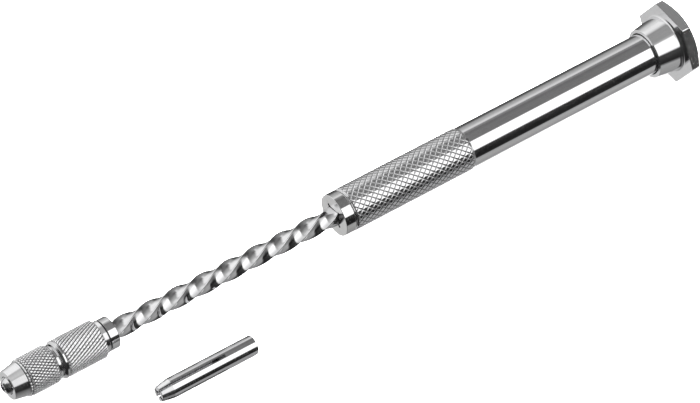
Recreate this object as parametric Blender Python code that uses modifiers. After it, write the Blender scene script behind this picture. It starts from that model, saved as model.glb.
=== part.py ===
"""Spiral push drill with a pin-vise collet chuck, and a spare collet beside it.

Every driving dimension is below, in millimetres. x runs along the tool from
the collet's tip (negative) to the hexagon cap (positive), with x = 0 just
behind the drive nut's front face. The tool lies at its natural rest on z = 0:
on the hexagon's lower front edge and on the chuck's knurl.
"""

import math

import bmesh
import bpy
from mathutils import Matrix, Vector

MM = 0.001
NAME = "pin_vise"
SEG = 40  # facets round a turned piece

# --- placing -----------------------------------------------------------------
HEX_AF = 19.0
CHUCK_R = 4.88
HEX_X0 = 100.6  # hexagon's front face
CHUCK_X0 = -89.75  # front edge of the cap's knurl
TILT = math.atan((HEX_AF / 2 - CHUCK_R) / (HEX_X0 - CHUCK_X0))
SHIFT_X = -4.538
SHIFT_Y = 5.677
AXIS_Z = HEX_AF / 2 * math.cos(TILT) - HEX_X0 * math.sin(TILT)

# --- spiral shaft ------------------------------------------------------------
LEAD = 30.3  # one turn of the square bar, left-handed
BAR_W = 3.78  # across its flats
BAR_EDGE = 0.2  # chamfer along its four edges
BAR_ANGLE = 78.86  # how one of its flats faces at x = 0, from +Y towards +Z
SPIRAL_X0, SPIRAL_X1 = -64.5, 9.0
TANG_X0 = -66.9
BAR_X1 = 13.5
SLOT_GAP = 0.15  # between the bar and the nut's square hole, each side
TANG_GAP = 0.12

# --- collets -----------------------------------------------------------------
COLLET_R = 2.5
COLLET_L = 27.2
COLLET_X0 = -94.95
COLLET_TIP_R = 1.74  # closed, in the chuck
SPARE_TIP_R = 1.9  # open
COLLET_CONE = 3.25
COLLET_BORE_R = 1.1
SLIT_W = 0.42
SPARE_SLIT_W = 0.7
SLIT_L = 19.5
SLIT_RAMP = 2.4

# --- chuck -------------------------------------------------------------------
NOSE_X, NOSE_R, CONE_X, CONE_R = -93.7, 3.7, -89.95, 4.38
CAP_KNURL_X0, CAP_KNURL_X1, CAP_X1, CAP_BAND_R = -89.1, -81.8, -80.75, 4.35
NECK_X0, NECK_R = -88.2, 3.85
THREAD_BORE_R = 4.05
LIP_X0 = -80.3
BODY_KNURL_X0, BODY_KNURL_X1 = -79.0, -68.45
BAND_X1, BAND_R = -67.2, 4.12
COLLAR_X0, COLLAR_X1, COLLAR_R = -66.82, -64.5, 4.08
COLLET_SEAT_R, COLLET_STOP_X = 2.7, -67.1
GRUB_X = -65.65
GRUB_R = 0.8

# --- handle ------------------------------------------------------------------
BOSS_X0, BOSS_R, BOSS_L, NUT_X1 = -0.28, 5.5, 2.8, 8.6
SLOT_L = 3.8
BAR_CLEAR_R = 3.0
TUBE_R, TUBE_BORE_R, KNURL_R = 5.38, 4.5, 5.56
TUBE_X0, TUBE_X1, KNURL_X1 = 2.9, 98.9, 38.3
WASHER_X0, WASHER_T = 8.9, 0.8

# --- inside the handle -------------------------------------------------------
STOP_X0, STOP_X1, STOP_R = 10.0, 15.6, 4.15
PIN_X, PIN_R = 11.8, 0.6
BALL_X, BALL_R = 16.5, 1.75
FOLLOWER_X0, FOLLOWER_X1, FOLLOWER_R, STEM_R = 17.3, 19.0, 4.1, 2.5
SPRING_X0, SPRING_X1 = 19.5, 95.9
SPRING_R, WIRE_R, COILS = 3.4, 0.4, 18
SEAT_X0, SEAT_X1 = 96.4, 99.15

# --- end cap -----------------------------------------------------------------
RIM_X = 94.0
CAP_BORE_R, CAP_FLOOR_X = 5.6, 99.5
RIM_R, FLARE_X0, FLARE_R0, FLARE_X1, FLARE_R1 = 6.6, 95.2, 6.42, 100.1, 7.33
HEX_CORNER_L, HEX_L = 2.15, 3.25  # length of the hexagon at its corners, and in all
CHAMFER = math.radians(30)

# --- spare collet ------------------------------------------------------------
SPARE_X, SPARE_Y, SPARE_YAW = -64.35, -19.87, 0.75
SPARE_ROLL = 14.0  # its slits, turned about its axis


for old in list(bpy.data.objects):
    bpy.data.objects.remove(old, do_unlink=True)

PARTS = bpy.data.collections.new(NAME)
bpy.context.scene.collection.children.link(PARTS)
CUTTERS = bpy.data.collections.new(NAME + "_cutters")
bpy.context.scene.collection.children.link(CUTTERS)


def empty(name, matrix):
    obj = bpy.data.objects.new(name, None)
    obj.empty_display_size = 0.01
    PARTS.objects.link(obj)
    obj.matrix_world = matrix
    return obj


TOOL = empty(
    "tool_axis",
    Matrix.Translation(Vector((SHIFT_X, SHIFT_Y, AXIS_Z)) * MM)
    @ Matrix.Rotation(-TILT, 4, "Y"),
)
SPARE = empty(
    "spare_axis",
    Matrix.Translation(
        Vector((SHIFT_X + SPARE_X, SHIFT_Y + SPARE_Y, COLLET_R)) * MM
    )
    @ Matrix.Rotation(math.radians(SPARE_YAW), 4, "Z")
    @ Matrix.Rotation(math.radians(SPARE_ROLL), 4, "X"),
)
TO_X = Matrix.Rotation(math.pi / 2, 4, "Y")  # a turned piece's own Z lies along x


def material(name, color, metallic=1.0, roughness=0.2):
    mat = bpy.data.materials.new(name)
    mat.use_nodes = True
    bsdf = mat.node_tree.nodes["Principled BSDF"]
    bsdf.inputs["Base Color"].default_value = (*color, 1.0)
    bsdf.inputs["Metallic"].default_value = metallic
    bsdf.inputs["Roughness"].default_value = roughness
    return mat


CHROME = material("chrome_plate", (0.78, 0.78, 0.79), 1.0, 0.08)
NICKEL = material("nickel_plate", (0.74, 0.74, 0.74), 1.0, 0.14)
TOOL_STEEL = material("polished_steel", (0.68, 0.69, 0.70), 1.0, 0.2)
COLLET_STEEL = material("spring_steel", (0.62, 0.62, 0.64), 1.0, 0.16)
BLACK_STEEL = material("black_oxide_steel", (0.08, 0.08, 0.09), 1.0, 0.45)
SPRING_WIRE = material("spring_wire", (0.5, 0.5, 0.52), 1.0, 0.3)
BEARING = material("bearing_steel", (0.8, 0.8, 0.82), 1.0, 0.05)
FIBRE = material("fibre", (0.32, 0.12, 0.06), 0.0, 0.7)
BRASS = material("brass", (0.72, 0.53, 0.22), 1.0, 0.3)


def place(obj, parent, local, mat=None):
    """Puts an object in a collection, at a place in its parent's frame. No material makes it a cutter."""
    cutter = mat is None
    (CUTTERS if cutter else PARTS).objects.link(obj)
    obj.parent = parent
    obj.matrix_local = local
    if cutter:
        obj.hide_render = True
        obj.display_type = "WIRE"
    else:
        obj.data.materials.append(mat)
    return obj


def mesh_object(name, bm):
    mesh = bpy.data.meshes.new(name)
    bm.to_mesh(mesh)
    bm.free()
    return bpy.data.objects.new(name, mesh)


def turned(name, profile, mat=None, parent=None, closed=False, seg=SEG):
    """A solid of revolution about x. profile is [(x, r)] in mm, from the axis or the rear, over the outside towards the front, and back."""
    bm = bmesh.new()
    points = [bm.verts.new((r * MM, 0, x * MM)) for x, r in profile]
    pairs = list(zip(points, points[1:])) + ([(points[-1], points[0])] if closed else [])
    for a, b in pairs:
        bm.edges.new((a, b))
    obj = mesh_object(name, bm)
    screw = obj.modifiers.new("turn", "SCREW")
    screw.axis = "Z"
    screw.angle = 2 * math.pi
    screw.steps = screw.render_steps = seg
    screw.use_merge_vertices = True
    screw.merge_threshold = 1e-6
    screw.use_smooth_shade = True
    return place(obj, parent or TOOL, TO_X, mat)


def block(name, x0, x1, width, turn, mat=None, parent=None, cuts=0, edge=0.0):
    """A square bar along x, one flat turned by so many degrees from +Y towards +Z, with its long edges chamfered."""
    bm = bmesh.new()
    bmesh.ops.create_cube(bm, size=1.0)
    for v in bm.verts:
        v.co = Vector(
            (
                (x0 if v.co.x < 0 else x1) * MM,
                v.co.y * width * MM,
                v.co.z * width * MM,
            )
        )

    def long_edges():
        return [e for e in bm.edges if abs(e.verts[0].co.x - e.verts[1].co.x) > 1e-6]

    if edge:
        bmesh.ops.bevel(
            bm, geom=long_edges(), offset=edge * MM, offset_type="OFFSET", segments=1, affect="EDGES"
        )
    if cuts:
        bmesh.ops.subdivide_edges(bm, edges=long_edges(), cuts=cuts, use_grid_fill=True)
    obj = mesh_object(name, bm)
    return place(obj, parent or TOOL, Matrix.Rotation(math.radians(turn), 4, "X"), mat)


def twist(obj, x0, x1, low, high):
    """Twists a bar that runs from x0 to x1 left-handed, one turn in LEAD, between low and high. Its section at its own origin stays as it is."""
    bend = obj.modifiers.new("twist", "SIMPLE_DEFORM")
    bend.deform_method = "TWIST"
    bend.deform_axis = "X"
    bend.limits = ((low - x0) / (x1 - x0), (high - x0) / (x1 - x0))
    bend.angle = -2 * math.pi * (high - low) / LEAD


def bore(name, at, radius, depth, axis, parent=None, seg=16):
    """A round cutter with its middle at (x, y, z), along axis."""
    bm = bmesh.new()
    bmesh.ops.create_cone(
        bm, cap_ends=True, segments=seg, radius1=radius * MM, radius2=radius * MM, depth=depth * MM
    )
    obj = mesh_object(name, bm)
    turn = Vector((0, 0, 1)).rotation_difference(Vector(axis).normalized()).to_matrix().to_4x4()
    return place(obj, parent or TOOL, Matrix.Translation(Vector(at) * MM) @ turn)


def combine(obj, operation, other):
    cut = obj.modifiers.new(other.name, "BOOLEAN")
    cut.operation = operation
    cut.solver = "EXACT"
    cut.object = other


def slit(name, x0, x1, width, turn, parent):
    """A saw cut along a collet, right across it, with an end that runs out to the outside."""
    out = COLLET_R + 1.0
    outline = [
        (x0, -out),
        (x1, -out),
        (x1 - SLIT_RAMP, -COLLET_BORE_R * 0.6),
        (x1 - SLIT_RAMP, COLLET_BORE_R * 0.6),
        (x1, out),
        (x0, out),
    ]
    bm = bmesh.new()
    face = bm.faces.new([bm.verts.new((x * MM, -width / 2 * MM, r * MM)) for x, r in outline])
    top = bmesh.ops.extrude_face_region(bm, geom=[face])
    for v in top["geom"]:
        if isinstance(v, bmesh.types.BMVert):
            v.co.y = width / 2 * MM
    bmesh.ops.recalc_face_normals(bm, faces=bm.faces)
    return place(
        mesh_object(name, bm), parent, Matrix.Rotation(math.radians(turn), 4, "X")
    )


def collet(name, x0, tip_r, slit_w, turn, parent):
    x1 = x0 + COLLET_L
    obj = turned(
        name,
        [
            (x1, COLLET_BORE_R),
            (x1, COLLET_R - 0.2),
            (x1 - 0.2, COLLET_R),
            (x0 + COLLET_CONE, COLLET_R),
            (x0, tip_r),
            (x0, COLLET_BORE_R * 0.8),
        ],
        COLLET_STEEL,
        parent,
        closed=True,
        seg=32,
    )
    for k in range(2):
        combine(
            obj,
            "DIFFERENCE",
            slit(f"{name}_slit_{k}", x0 - 1, x0 + SLIT_L, slit_w, turn + 90 * k, parent),
        )
    return obj


# --- chuck -------------------------------------------------------------------
turned(
    "chuck_cap",
    [
        (CAP_X1, THREAD_BORE_R),
        (CAP_X1, CAP_BAND_R),
        (CAP_KNURL_X1 + 0.55, CAP_BAND_R),
        (CAP_KNURL_X1, CHUCK_R),
        (CAP_KNURL_X0, CHUCK_R),
        (CAP_KNURL_X0 - 0.05, CHUCK_R - 0.35),
        (CAP_KNURL_X0 - 0.2, CHUCK_R - 0.35),
        (CAP_KNURL_X0 - 0.25, CHUCK_R),
        (CHUCK_X0, CHUCK_R),
        (CONE_X + 0.05, CHUCK_R - 0.15),
        (CONE_X, CONE_R),
        (NOSE_X + 0.1, NOSE_R),
        (NOSE_X, NOSE_R - 0.1),
        (NOSE_X, 2.2),
        (COLLET_X0 + COLLET_CONE, COLLET_SEAT_R),
        (-89.3, COLLET_SEAT_R),
        (-88.95, THREAD_BORE_R),
    ],
    CHROME,
    closed=True,
)

collet("collet", COLLET_X0, COLLET_TIP_R, SLIT_W, 62.0, TOOL)

body = turned(
    "chuck_body",
    [
        (COLLAR_X1, 0),
        (COLLAR_X1, COLLAR_R - 0.2),
        (COLLAR_X1 - 0.2, COLLAR_R),
        (COLLAR_X0, COLLAR_R),
        (COLLAR_X0 - 0.05, COLLAR_R - 0.2),
        (BAND_X1 + 0.05, COLLAR_R - 0.2),
        (BAND_X1, BAND_R),
        (BODY_KNURL_X1 + 0.1, BAND_R - 0.12),
        (BODY_KNURL_X1, CHUCK_R - 0.1),
        (BODY_KNURL_X1 - 0.1, CHUCK_R),
        (BODY_KNURL_X0, CHUCK_R),
        (BODY_KNURL_X0 - 0.08, CHUCK_R - 0.2),
        (BODY_KNURL_X0 - 0.2, CHUCK_R - 0.2),
        (BODY_KNURL_X0 - 0.28, CHUCK_R),
        (LIP_X0 + 0.55, CHUCK_R),
        (LIP_X0, CHUCK_R - 0.53),
        (LIP_X0, NECK_R),
        (NECK_X0 + 0.25, NECK_R),
        (NECK_X0, NECK_R - 0.25),
        (NECK_X0, COLLET_SEAT_R),
        (-69.0, COLLET_SEAT_R),
        (-69.0, COLLET_SEAT_R + 0.25),
        (COLLET_STOP_X, COLLET_SEAT_R + 0.25),
        (COLLET_STOP_X, 0),
    ],
    CHROME,
)
TANG_TURN = BAR_ANGLE - 360.0 * SPIRAL_X0 / LEAD
combine(
    body,
    "DIFFERENCE",
    block(
        "tang_slot",
        COLLET_STOP_X - 0.5,
        COLLAR_X1 + 1,
        BAR_W + 2 * TANG_GAP,
        TANG_TURN,
    ),
)
# the grub screw bears on the flat of the bar that faces down and back
flat = math.radians(TANG_TURN)
GRUB_AXIS = Vector((0, math.cos(flat), math.sin(flat)))
if GRUB_AXIS.y < 0:
    GRUB_AXIS.negate()
grub_in, grub_out = BAR_W / 2 + 0.15, COLLAR_R - 0.35
combine(
    body,
    "DIFFERENCE",
    bore("grub_hole", Vector((GRUB_X, 0, 0)) + GRUB_AXIS * 3.1, GRUB_R + 0.15, 4.2, GRUB_AXIS),
)
bm = bmesh.new()
bmesh.ops.create_cone(
    bm,
    cap_ends=True,
    segments=16,
    radius1=GRUB_R * MM,
    radius2=GRUB_R * MM,
    depth=(grub_out - grub_in) * MM,
)
grub = place(
    mesh_object("chuck_grub_screw", bm),
    TOOL,
    Matrix.Translation((Vector((GRUB_X, 0, 0)) + GRUB_AXIS * (grub_in + grub_out) / 2) * MM)
    @ Vector((0, 0, 1)).rotation_difference(GRUB_AXIS).to_matrix().to_4x4(),
    BLACK_STEEL,
)
combine(
    grub,
    "DIFFERENCE",
    bore("grub_socket", Vector((GRUB_X, 0, 0)) + GRUB_AXIS * (grub_out + 0.2), 0.42, 2.0, GRUB_AXIS, seg=6),
)

# --- spiral shaft ------------------------------------------------------------
shaft = block(
    "spiral_shaft", TANG_X0, BAR_X1, BAR_W, BAR_ANGLE, TOOL_STEEL, cuts=120, edge=BAR_EDGE
)
twist(shaft, TANG_X0, BAR_X1, SPIRAL_X0, SPIRAL_X1)

# --- handle ------------------------------------------------------------------
nut = turned(
    "drive_nut",
    [
        (SLOT_L, 0),
        (SLOT_L, BAR_CLEAR_R),
        (NUT_X1, BAR_CLEAR_R),
        (NUT_X1, TUBE_BORE_R - 0.4),
        (NUT_X1 - 0.2, TUBE_BORE_R - 0.2),
        (BOSS_L, TUBE_BORE_R - 0.2),
        (BOSS_L, BOSS_R - 0.35),
        (BOSS_L - 0.32, BOSS_R),
        (BOSS_X0 + 0.15, BOSS_R),
        (BOSS_X0, BOSS_R - 0.15),
        (BOSS_X0, 0),
    ],
    NICKEL,
)
slot_x0, slot_x1 = -1.0, SLOT_L + 1.0
slot = block(
    "drive_slot",
    slot_x0,
    slot_x1,
    BAR_W + 2 * SLOT_GAP,
    BAR_ANGLE,
    cuts=13,
)
twist(slot, slot_x0, slot_x1, slot_x0, slot_x1)
combine(nut, "DIFFERENCE", slot)

turned(
    "handle_tube",
    [
        (TUBE_X1, TUBE_BORE_R),
        (TUBE_X1, TUBE_R - 0.25),
        (TUBE_X1 - 0.25, TUBE_R),
        (KNURL_X1 + 0.1, TUBE_R),
        (KNURL_X1, KNURL_R),
        (TUBE_X0 + 0.4, KNURL_R),
        (TUBE_X0, KNURL_R - 0.45),
        (TUBE_X0, TUBE_BORE_R),
    ],
    CHROME,
    closed=True,
)
turned(
    "stop_washer",
    [
        (WASHER_X0 + WASHER_T, BAR_CLEAR_R + 0.2),
        (WASHER_X0 + WASHER_T, TUBE_BORE_R - 0.3),
        (WASHER_X0, TUBE_BORE_R - 0.3),
        (WASHER_X0, BAR_CLEAR_R + 0.2),
    ],
    FIBRE,
    closed=True,
)

# --- inside the handle -------------------------------------------------------
END_TURN = BAR_ANGLE - 360.0 * SPIRAL_X1 / LEAD
stop = turned(
    "stop_collar",
    [
        (STOP_X1 - 1.1, 0),
        (STOP_X1 - 1.1, 0.7),
        (STOP_X1, 1.9),
        (STOP_X1, STOP_R - 0.25),
        (STOP_X1 - 0.25, STOP_R),
        (STOP_X0 + 0.25, STOP_R),
        (STOP_X0, STOP_R - 0.25),
        (STOP_X0, 0),
    ],
    TOOL_STEEL,
    seg=32,
)
combine(
    stop,
    "DIFFERENCE",
    block(
        "stop_slot",
        STOP_X0 - 1,
        BAR_X1 + 0.2,
        BAR_W + 2 * TANG_GAP,
        END_TURN,
    ),
)
flat = math.radians(END_TURN)
PIN_AXIS = Vector((0, -math.sin(flat), math.cos(flat)))
pin_hole = bore("stop_pin_hole", (PIN_X, 0, 0), PIN_R + 0.12, 12.0, PIN_AXIS)
combine(stop, "DIFFERENCE", pin_hole)
combine(shaft, "DIFFERENCE", pin_hole)
bm = bmesh.new()
bmesh.ops.create_cone(
    bm, cap_ends=True, segments=16, radius1=PIN_R * MM, radius2=PIN_R * MM, depth=7.9 * MM
)
place(
    mesh_object("stop_pin", bm),
    TOOL,
    Matrix.Translation(Vector((PIN_X, 0, 0)) * MM)
    @ Vector((0, 0, 1)).rotation_difference(PIN_AXIS).to_matrix().to_4x4(),
    BEARING,
)
bm = bmesh.new()
bmesh.ops.create_uvsphere(bm, u_segments=16, v_segments=10, radius=BALL_R * MM)
place(
    mesh_object("thrust_ball", bm),
    TOOL,
    Matrix.Translation(Vector((BALL_X, 0, 0)) * MM) @ TO_X,
    BEARING,
)
turned(
    "spring_follower",
    [
        (FOLLOWER_X1 + 6.0, 0),
        (FOLLOWER_X1 + 6.0, STEM_R - 0.4),
        (FOLLOWER_X1 + 5.6, STEM_R),
        (FOLLOWER_X1, STEM_R),
        (FOLLOWER_X1, FOLLOWER_R),
        (FOLLOWER_X0, FOLLOWER_R),
        (FOLLOWER_X0, 1.9),
        (FOLLOWER_X0 + 1.1, 0.7),
        (FOLLOWER_X0 + 1.1, 0),
    ],
    BRASS,
    seg=32,
)

wire = bpy.data.curves.new("return_spring", "CURVE")
wire.dimensions = "3D"
wire.bevel_depth = WIRE_R * MM
wire.bevel_resolution = 1
wire.use_fill_caps = True
steps = COILS * 12
line = wire.splines.new("POLY")
line.points.add(steps)
for i, point in enumerate(line.points):
    turn = 2 * math.pi * COILS * i / steps
    x = SPRING_X0 + (SPRING_X1 - SPRING_X0) * i / steps
    point.co = (
        x * MM,
        SPRING_R * MM * math.cos(turn),
        SPRING_R * MM * math.sin(turn),
        1.0,
    )
place(bpy.data.objects.new("return_spring", wire), TOOL, Matrix.Identity(4), SPRING_WIRE)

turned(
    "spring_seat",
    [
        (SEAT_X1, 0),
        (SEAT_X1, FOLLOWER_R),
        (SEAT_X0, FOLLOWER_R),
        (SEAT_X0, STEM_R),
        (SEAT_X0 - 5.6, STEM_R),
        (SEAT_X0 - 6.0, STEM_R - 0.4),
        (SEAT_X0 - 6.0, 0),
    ],
    BRASS,
    seg=32,
)

# --- end cap -----------------------------------------------------------------
HEX_R = HEX_AF / math.sqrt(3)
HEX_X1 = HEX_X0 + HEX_L
bm = bmesh.new()
bmesh.ops.create_cone(
    bm, cap_ends=True, segments=6, radius1=HEX_R * MM, radius2=HEX_R * MM, depth=HEX_L * MM
)
cap = place(
    mesh_object("end_cap", bm),
    TOOL,
    Matrix.Translation(Vector((HEX_X0 + HEX_L / 2, 0, 0)) * MM) @ TO_X,
    CHROME,
)
slope = 1 / math.tan(CHAMFER)
combine(
    cap,
    "INTERSECT",
    turned(
        "hex_chamfer",
        [
            (HEX_X1 + 1, 0),
            (HEX_X1 + 1, HEX_R - (HEX_L + 1 - HEX_CORNER_L) * slope),
            (HEX_X0 + HEX_CORNER_L - 0.4, HEX_R + 0.4 * slope),
            (HEX_X0 - 1, HEX_R + 0.4 * slope),
            (HEX_X0 - 1, 0),
        ],
        seg=72,
    ),
)
combine(
    cap,
    "UNION",
    turned(
        "cap_collar",
        [
            (HEX_X0 + 0.6, 0),
            (HEX_X0 + 0.6, FLARE_R1 + 0.45),
            (HEX_X0, FLARE_R1 + 0.45),
            (HEX_X0 - 0.15, FLARE_R1 + 0.18),
            (FLARE_X1, FLARE_R1),
            (FLARE_X0, FLARE_R0),
            (RIM_X + 0.85, FLARE_R0),
            (RIM_X + 0.6, RIM_R),
            (RIM_X + 0.1, RIM_R),
            (RIM_X, RIM_R - 0.1),
            (RIM_X, 0),
        ],
    ),
)
combine(
    cap,
    "DIFFERENCE",
    turned(
        "cap_bore",
        [
            (CAP_FLOOR_X, 0),
            (CAP_FLOOR_X, CAP_BORE_R),
            (RIM_X - 1, CAP_BORE_R),
            (RIM_X - 1, 0),
        ],
    ),
)

# --- spare collet ------------------------------------------------------------
collet("spare_collet", 0.0, SPARE_TIP_R, SPARE_SLIT_W, 0.0, SPARE)

# --- shading -----------------------------------------------------------------
for obj in PARTS.objects:
    if obj.type == "MESH":
        for polygon in obj.data.polygons:
            polygon.use_smooth = True
        obj.modifiers.new("normals", "WEIGHTED_NORMAL")
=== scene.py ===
"""Looks of a spiral push drill with a pin-vise collet chuck, and its spare collet.

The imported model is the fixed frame. Each visible piece here is a finer mesh that
stands for its node: true knurls, threads, rounded edges and slit collets.
Sizes are in millimetres in the tool's own frame: x runs along the tool from the
collet's tip to the hexagon cap, with x = 0 at the drive nut's front face.
"""

import math

import bpy
import numpy as np
from mathutils import Matrix, Vector


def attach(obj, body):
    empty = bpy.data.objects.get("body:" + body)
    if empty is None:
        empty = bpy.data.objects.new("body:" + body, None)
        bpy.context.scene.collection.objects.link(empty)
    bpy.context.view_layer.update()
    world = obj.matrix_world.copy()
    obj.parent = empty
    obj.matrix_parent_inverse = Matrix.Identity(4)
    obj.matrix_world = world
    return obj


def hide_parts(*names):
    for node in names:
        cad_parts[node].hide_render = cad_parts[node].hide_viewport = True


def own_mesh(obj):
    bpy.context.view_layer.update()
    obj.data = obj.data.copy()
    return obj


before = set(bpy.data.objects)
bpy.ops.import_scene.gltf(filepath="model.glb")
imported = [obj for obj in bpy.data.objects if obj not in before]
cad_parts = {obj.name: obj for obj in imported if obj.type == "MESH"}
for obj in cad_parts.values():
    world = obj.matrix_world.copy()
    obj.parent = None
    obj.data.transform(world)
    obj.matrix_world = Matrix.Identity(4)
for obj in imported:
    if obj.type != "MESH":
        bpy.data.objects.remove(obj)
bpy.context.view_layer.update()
scene = bpy.context.scene
MM = 0.001

# --- the tool's frame --------------------------------------------------------
HEX_AF, HEX_X0, HEX_CORNER_L, HEX_L = 19.0, 100.6, 2.15, 3.25
CHUCK_R = 4.88
TILT = math.atan((HEX_AF / 2 - CHUCK_R) / (HEX_X0 + 89.75))
SHIFT = Vector((-4.538, 5.677, HEX_AF / 2 * math.cos(TILT) - HEX_X0 * math.sin(TILT)))
TOOL = Matrix.Translation(SHIFT * MM) @ Matrix.Rotation(-TILT, 4, "Y")
SPARE = (
    Matrix.Translation(Vector((SHIFT.x - 64.35, SHIFT.y - 19.87, 2.5)) * MM)
    @ Matrix.Rotation(math.radians(0.75), 4, "Z")
    @ Matrix.Rotation(math.radians(14.0), 4, "X")
)
AXIS = (TOOL.to_3x3() @ Vector((1, 0, 0))).normalized()

# --- camera: a long lens, from the front left and above ----------------------
lens = bpy.data.cameras.new("photo_camera")
lens.sensor_fit = "HORIZONTAL"
lens.sensor_width = 36.0
lens.lens = 5000 * 36.0 / 700
lens.clip_start, lens.clip_end = 0.05, 50.0
camera = bpy.data.objects.new("photo_camera", lens)
scene.collection.objects.link(camera)
RIGHT = Vector((0.81744536, -0.57526666, 0.02917804))
UP = Vector((0.42513804, 0.63674284, 0.64328547))
BACK = Vector((-0.3886396, -0.51344602, 0.76507022))
EYE = Vector((-464.4409, -619.3205, 925.0578)) * MM
pose = Matrix((RIGHT, UP, BACK)).transposed().to_4x4()
pose.translation = EYE
camera.matrix_world = TOOL @ pose
scene.camera = camera

# --- studio ------------------------------------------------------------------
# Long softboxes, grey panels and black flags stand parallel to the tool, all round
# it. TO_EYE points from the tool's axis to the camera, and DOWN is below it there.
# Each row starts with how far the light comes from along the tool, as the cosine of
# its angle to the axis, and lists (degrees round the axis from the camera downwards, light).
TO_EYE = (TOOL.to_3x3() @ Vector((0, EYE.y, EYE.z))).normalized()
DOWN = AXIS.cross(TO_EYE).normalized()
if DOWN.z > 0:
    DOWN.negate()
BESIDE = [
    (-180, 0.08), (-130, 0.1), (-118, 0.34), (-100, 0.48), (-86, 0.76), (-81, 0.74), (-77, 0.27), (-62, 0.13),
    (-46, 0.165), (-15, 0.165), (-11, 1.5), (35, 1.5), (39, 0.025), (60, 0.01), (83, 0.015), (88, 0.42),
    (101, 0.455), (141, 0.28), (146, 0.95), (180, 0.95),
]
BESIDE_FRONT = BESIDE[:-5] + [(88, 0.36), (101, 0.38), (141, 0.3), (180, 0.25)]
PANELS = [
    (-0.86, [(-180, 0.04), (180, 0.04)]),
    (-0.72, [(-180, 0.6), (-46, 0.95), (-38, 0.02), (130, 0.02), (145, 0.4), (180, 0.6)]),
    (-0.36, [(-180, 0.6), (-70, 0.95), (-26, 0.95), (-16, 0.1), (90, 0.02), (130, 0.02), (145, 0.5), (180, 0.6)]),
    (
        -0.15,
        [
            (-180, 0.6), (-120, 0.8), (-66, 1.0), (-55, 0.7), (-44, 0.85), (-30, 0.85), (-17, 0.62), (-8, 0.75),
            (27, 0.72), (34, 0.03), (76, 0.02), (86, 0.1), (180, 0.45),
        ],
    ),
    (
        0.03,
        [
            (-180, 0.5), (-110, 1.0), (-66, 1.0), (-55, 0.46), (-24, 0.54), (-16, 0.46), (-9, 1.0), (30, 1.0),
            (37, 0.03), (74, 0.02), (90, 0.08), (120, 0.16), (180, 0.6),
        ],
    ),
    (
        0.22,
        [
            (-180, 0.1), (-134, 0.5), (-112, 0.9), (-92, 1.0), (-75, 1.0), (-63, 0.33), (-22, 0.3), (-14, 0.5),
            (-10, 1.3), (34, 1.3), (40, 0.05), (76, 0.02), (88, 0.42), (118, 0.34), (180, 0.28),
        ],
    ),
    (0.39, BESIDE_FRONT),
    (0.43, BESIDE),
    (0.45, BESIDE),
    (
        0.57,
        [
            (-180, 0.1), (-110, 0.28), (-78, 0.32), (-56, 0.16), (-24, 0.13), (-12, 0.5), (-6, 1.1), (32, 1.0),
            (42, 0.2), (60, 0.06), (90, 0.28), (180, 0.4),
        ],
    ),
    (0.72, [(-180, 0.2), (-66, 0.18), (-30, 0.06), (-8, 0.12), (6, 0.5), (24, 0.8), (34, 0.6), (50, 0.2), (180, 0.2)]),
    (0.84, [(-180, 0.15), (-40, 0.06), (10, 0.08), (30, 0.2), (180, 0.12)]),
]
EVEN_LIGHT = 6.0  # on the floor


def link(tree, a, b):
    tree.links.new(a, b)


def studio():
    world = bpy.data.worlds.new("studio")
    scene.world = world
    world.use_nodes = True
    tree = world.node_tree
    tree.nodes.clear()

    def math_node(operation, a, b=None):
        node = tree.nodes.new("ShaderNodeMath")
        node.operation = operation
        for socket, value in zip(node.inputs, (a, b)):
            if value is None:
                continue
            if isinstance(value, (int, float)):
                socket.default_value = value
            else:
                link(tree, value, socket)
        return node.outputs[0]

    def step(value, start, end):
        node = tree.nodes.new("ShaderNodeMapRange")
        node.inputs["From Min"].default_value = start
        node.inputs["From Max"].default_value = end
        link(tree, value, node.inputs["Value"])
        return node.outputs["Result"]

    def panels(stops):
        ramp = tree.nodes.new("ShaderNodeValToRGB")
        ramp.color_ramp.interpolation = "LINEAR"
        link(tree, place, ramp.inputs["Fac"])
        elements = ramp.color_ramp.elements
        while len(elements) < len(stops):
            elements.new(1.0)
        for element, (angle, level) in zip(elements, stops):
            element.position = (angle + 180.0) / 360.0
            element.color = (level, level, level, 1.0)
        return ramp.outputs["Color"]

    def blend(share, a, b):
        node = tree.nodes.new("ShaderNodeMix")
        node.data_type = "RGBA"
        link(tree, share, node.inputs["Factor"])
        link(tree, a, node.inputs["A"])
        link(tree, b, node.inputs["B"])
        return node.outputs["Result"]

    coord = tree.nodes.new("ShaderNodeTexCoord")
    along, towards, below = [], [], []
    for direction, found in ((AXIS, along), (TO_EYE, towards), (DOWN, below)):
        dot = tree.nodes.new("ShaderNodeVectorMath")
        dot.operation = "DOT_PRODUCT"
        dot.inputs[1].default_value = direction
        link(tree, coord.outputs["Generated"], dot.inputs[0])
        found.append(dot.outputs["Value"])
    along = along[0]
    turn = math_node("ARCTAN2", below[0], towards[0])
    place = math_node("MULTIPLY_ADD", turn, 0.5 / math.pi)
    place.node.inputs[2].default_value = 0.5
    light = None
    for (start, _), (end, stops) in zip([PANELS[0]] + PANELS, PANELS):
        row = panels(stops)
        light = blend(step(along, start, end), light, row) if light else row

    seen = tree.nodes.new("ShaderNodeBackground")
    link(tree, light, seen.inputs["Color"])
    even = tree.nodes.new("ShaderNodeBackground")
    even.inputs["Color"].default_value = (1.0, 1.0, 1.0, 1.0)
    even.inputs["Strength"].default_value = EVEN_LIGHT
    path = tree.nodes.new("ShaderNodeLightPath")
    mix = tree.nodes.new("ShaderNodeMixShader")
    link(tree, path.outputs["Is Glossy Ray"], mix.inputs["Fac"])
    link(tree, even.outputs[0], mix.inputs[1])
    link(tree, seen.outputs[0], mix.inputs[2])
    out = tree.nodes.new("ShaderNodeOutputWorld")
    link(tree, mix.outputs[0], out.inputs["Surface"])


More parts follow.
